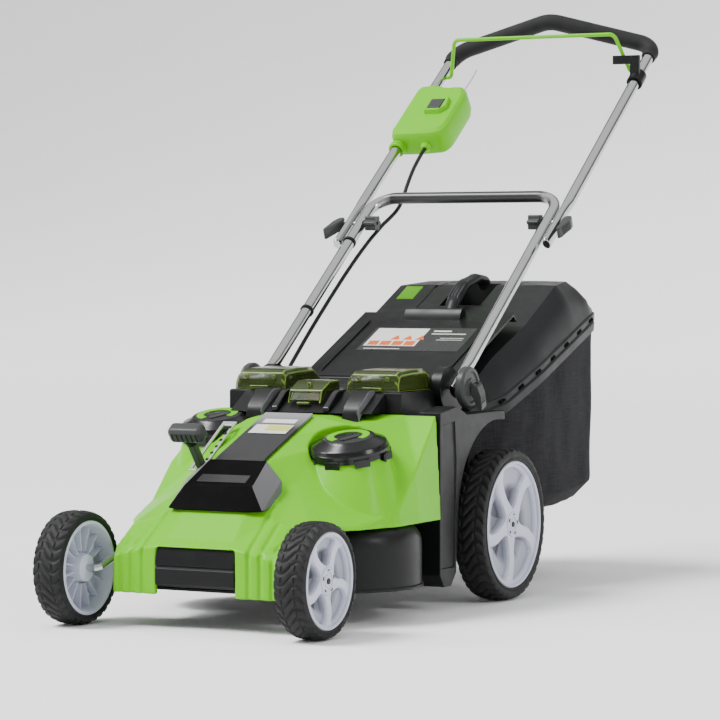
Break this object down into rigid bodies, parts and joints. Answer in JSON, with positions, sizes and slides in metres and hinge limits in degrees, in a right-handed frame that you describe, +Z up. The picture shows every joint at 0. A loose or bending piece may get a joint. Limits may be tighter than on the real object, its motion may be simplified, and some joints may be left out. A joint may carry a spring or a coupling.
{
  "type": "push lawn mower",
  "caption": "Cordless electric rotary lawn mower with twin blades, four wheels, rear grass bag, hinged battery lids and a two-part folding handle with start bail.",
  "frame": {"origin": "centre of the bounding box's underside, on the ground", "axes": "+Z up, -Y to the mower's front, +Y to the handle's grip, +X on the left of a user behind it"},
  "size_m": [0.517, 1.4508, 1.0369],
  "materials": {
    "green_plastic": "glossy lime green moulding",
    "black_plastic": "satin black moulding",
    "grey_plastic": "satin dark grey moulding",
    "panel_grey": "painted grey, silver at its rear end",
    "tinted_plastic": "smoky green see-through",
    "white_plastic": "pale lavender white moulding",
    "tyre_rubber": "black rubber",
    "chrome_tube": "bright chromed tube",
    "plated_steel": "zinc plated",
    "foam": "black closed-cell foam",
    "bag_cloth": "dark woven polyester",
    "cable_rubber": "black cable sheath",
    "key_red": "red moulding"
  },
  "bodies": {
    "chassis": {"deck_shell": "black_plastic", "top_cover": "green_plastic", "front_bumper": "black_plastic", "nose_panel": "panel_grey", "battery_housing": "black_plastic", "rear_side_panel_L": "black_plastic", "rear_side_panel_R": "black_plastic", "motor_L": "plated_steel", "motor_R": "plated_steel", "motor_cap_L": "black_plastic", "motor_cap_R": "black_plastic", "battery_L": "black_plastic", "battery_R": "black_plastic", "safety_key": "key_red", "height_quadrant": "plated_steel", "door_hinge_rod": "plated_steel", "pivot_bolt_L": "plated_steel", "pivot_bolt_R": "plated_steel"},
    "front_axle_body": {"front_axle": "plated_steel"},
    "rear_axle_body": {"rear_axle": "plated_steel"},
    "front_wheel_L": {"tyre_front_L": "tyre_rubber", "rim_front_L": "white_plastic"},
    "front_wheel_R": {"tyre_front_R": "tyre_rubber", "rim_front_R": "white_plastic"},
    "rear_wheel_L": {"tyre_rear_L": "tyre_rubber", "rim_rear_L": "white_plastic"},
    "rear_wheel_R": {"tyre_rear_R": "tyre_rubber", "rim_rear_R": "white_plastic"},
    "cutter_L": {"blade_L": "plated_steel", "blade_bolt_L": "plated_steel"},
    "cutter_R": {"blade_R": "plated_steel", "blade_bolt_R": "plated_steel"},
    "height_lever_body": {"height_lever": "plated_steel", "lever_knob": "grey_plastic"},
    "lower_handle_body": {"lower_handle": "chrome_tube", "pivot_disc_L": "grey_plastic", "pivot_disc_R": "grey_plastic", "clamp_bolt_L": "plated_steel", "clamp_bolt_R": "plated_steel", "cable_lower": "cable_rubber"},
    "upper_handle_body": {"upper_handle": "chrome_tube", "grip": "foam", "bail_bracket": "black_plastic", "switch_box": "green_plastic", "cable_upper": "cable_rubber"},
    "pivot_cam_body_L": {"pivot_cam_L": "grey_plastic"},
    "pivot_cam_body_R": {"pivot_cam_R": "grey_plastic"},
    "clamp_cam_body_L": {"clamp_cam_L": "grey_plastic"},
    "clamp_cam_body_R": {"clamp_cam_R": "grey_plastic"},
    "clamp_nut_body_L": {"clamp_nut_L": "grey_plastic"},
    "clamp_nut_body_R": {"clamp_nut_R": "grey_plastic"},
    "bail_body": {"bail": "green_plastic"},
    "start_button_body": {"start_button": "grey_plastic"},
    "battery_lid_body_L": {"battery_lid_L": "tinted_plastic"},
    "battery_lid_body_R": {"battery_lid_R": "tinted_plastic"},
    "key_cover_body": {"key_cover": "tinted_plastic"},
    "door": {"discharge_door": "black_plastic"},
    "grass_bag": {"bag_fabric": "bag_cloth", "bag_lid": "grey_plastic"},
    "bag_flap": {"bag_full_flap": "green_plastic"}
  },
  "joints": [
    {"name": "front_wheel_spin_L", "type": "hinge", "parent": "front_axle_body", "child": "front_wheel_L", "pos_m": [-0.2121, -0.63635, 0.089], "axis": [1, 0, 0], "continuous": true},
    {"name": "front_wheel_spin_R", "type": "hinge", "parent": "front_axle_body", "child": "front_wheel_R", "pos_m": [0.2121, -0.63635, 0.089], "axis": [1, 0, 0], "continuous": true},
    {"name": "rear_wheel_spin_L", "type": "hinge", "parent": "rear_axle_body", "child": "rear_wheel_L", "pos_m": [-0.22975, -0.02315, 0.127], "axis": [1, 0, 0], "continuous": true},
    {"name": "rear_wheel_spin_R", "type": "hinge", "parent": "rear_axle_body", "child": "rear_wheel_R", "pos_m": [0.22975, -0.02315, 0.127], "axis": [1, 0, 0], "continuous": true},
    {"name": "blade_spin_L", "type": "hinge", "parent": "chassis", "child": "cutter_L", "pos_m": [-0.118, -0.29975, 0.0735], "axis": [0, 0, 1], "continuous": true},
    {"name": "blade_spin_R", "type": "hinge", "parent": "chassis", "child": "cutter_R", "pos_m": [0.118, -0.37475, 0.0735], "axis": [0, 0, 1], "continuous": true},
    {"name": "height_adjust", "type": "hinge", "parent": "chassis", "child": "height_lever_body", "pos_m": [-0.088, -0.40975, 0.172], "axis": [-1, 0, 0], "range_deg": [-2.5, 39]},
    {"name": "front_axle_turn", "type": "hinge", "parent": "chassis", "child": "front_axle_body", "pos_m": [0, -0.57905, 0.1067], "axis": [-1, 0, 0], "range_deg": [-2.5, 39]},
    {"name": "rear_axle_turn", "type": "hinge", "parent": "chassis", "child": "rear_axle_body", "pos_m": [0, -0.08045, 0.1447], "axis": [1, 0, 0], "range_deg": [-2.5, 39]},
    {"name": "handle_fold", "type": "hinge", "parent": "chassis", "child": "lower_handle_body", "pos_m": [0, -0.09675, 0.358], "axis": [1, 0, 0], "range_deg": [0, 120], "deforming": ["cable_lower"]},
    {"name": "upper_fold", "type": "hinge", "parent": "lower_handle_body", "child": "upper_handle_body", "pos_m": [0, 0.26854, 0.63427], "axis": [1, 0, 0], "range_deg": [-158, 0], "deforming": ["cable_upper"]},
    {"name": "pivot_cam_swing_L", "type": "hinge", "parent": "lower_handle_body", "child": "pivot_cam_body_L", "pos_m": [-0.221, -0.09675, 0.358], "axis": [0, 0.9272, 0.3746], "range_deg": [0, 90]},
    {"name": "pivot_cam_swing_R", "type": "hinge", "parent": "lower_handle_body", "child": "pivot_cam_body_R", "pos_m": [0.221, -0.09675, 0.358], "axis": [0, -0.9272, -0.3746], "range_deg": [0, 90]},
    {"name": "clamp_cam_swing_L", "type": "hinge", "parent": "lower_handle_body", "child": "clamp_cam_body_L", "pos_m": [-0.2255, 0.26854, 0.63427], "axis": [0, 0.342, -0.9397], "range_deg": [0, 90]},
    {"name": "clamp_cam_swing_R", "type": "hinge", "parent": "lower_handle_body", "child": "clamp_cam_body_R", "pos_m": [0.2255, 0.26854, 0.63427], "axis": [0, -0.342, 0.9397], "range_deg": [0, 90]},
    {"name": "clamp_nut_spin_L", "type": "hinge", "parent": "lower_handle_body", "child": "clamp_nut_body_L", "pos_m": [-0.162, 0.26854, 0.63427], "axis": [1, 0, 0], "continuous": true},
    {"name": "clamp_nut_spin_R", "type": "hinge", "parent": "lower_handle_body", "child": "clamp_nut_body_R", "pos_m": [0.162, 0.26854, 0.63427], "axis": [1, 0, 0], "continuous": true},
    {"name": "bail_squeeze", "type": "hinge", "parent": "upper_handle_body", "child": "bail_body", "pos_m": [0, 0.645, 0.91898], "axis": [-1, 0, 0], "range_deg": [0, 55], "stiffness_Nm_per_rad": 0.4, "springref_deg": -28.65},
    {"name": "start_button_press", "type": "slide", "parent": "upper_handle_body", "child": "start_button_body", "axis": [0, 0.6032, -0.7976], "range_m": [0, 0.003], "stiffness_N_per_m": 500, "springref_m": -0.003},
    {"name": "battery_lid_open_L", "type": "hinge", "parent": "chassis", "child": "battery_lid_body_L", "pos_m": [-0.105, -0.11775, 0.36], "axis": [-1, 0, 0], "range_deg": [0, 95]},
    {"name": "battery_lid_open_R", "type": "hinge", "parent": "chassis", "child": "battery_lid_body_R", "pos_m": [0.105, -0.11775, 0.36], "axis": [-1, 0, 0], "range_deg": [0, 95]},
    {"name": "key_cover_open", "type": "hinge", "parent": "chassis", "child": "key_cover_body", "pos_m": [0, -0.21775, 0.36], "axis": [-1, 0, 0], "range_deg": [0, 80]},
    {"name": "door_open", "type": "hinge", "parent": "chassis", "child": "door", "pos_m": [0, -0.01725, 0.362], "axis": [-1, 0, 0], "range_deg": [-60, 0], "stiffness_Nm_per_rad": 0.5, "springref_deg": 28.65},
    {"name": "bag_slide", "type": "slide", "parent": "chassis", "child": "grass_bag", "axis": [0, 1, 0], "range_m": [0, 0.25]},
    {"name": "bag_flap_lift", "type": "hinge", "parent": "grass_bag", "child": "bag_flap", "pos_m": [-0.123, 0.32145, 0.4961], "axis": [1, 0, 0], "range_deg": [0, 30]}
  ],
  "couplings": [
    {"joint": "front_axle_turn", "follows": "height_adjust", "ratio": 1},
    {"joint": "rear_axle_turn", "follows": "height_adjust", "ratio": 1},
    {"joint": "upper_fold", "follows": "handle_fold", "ratio": -1.31}
  ]
}
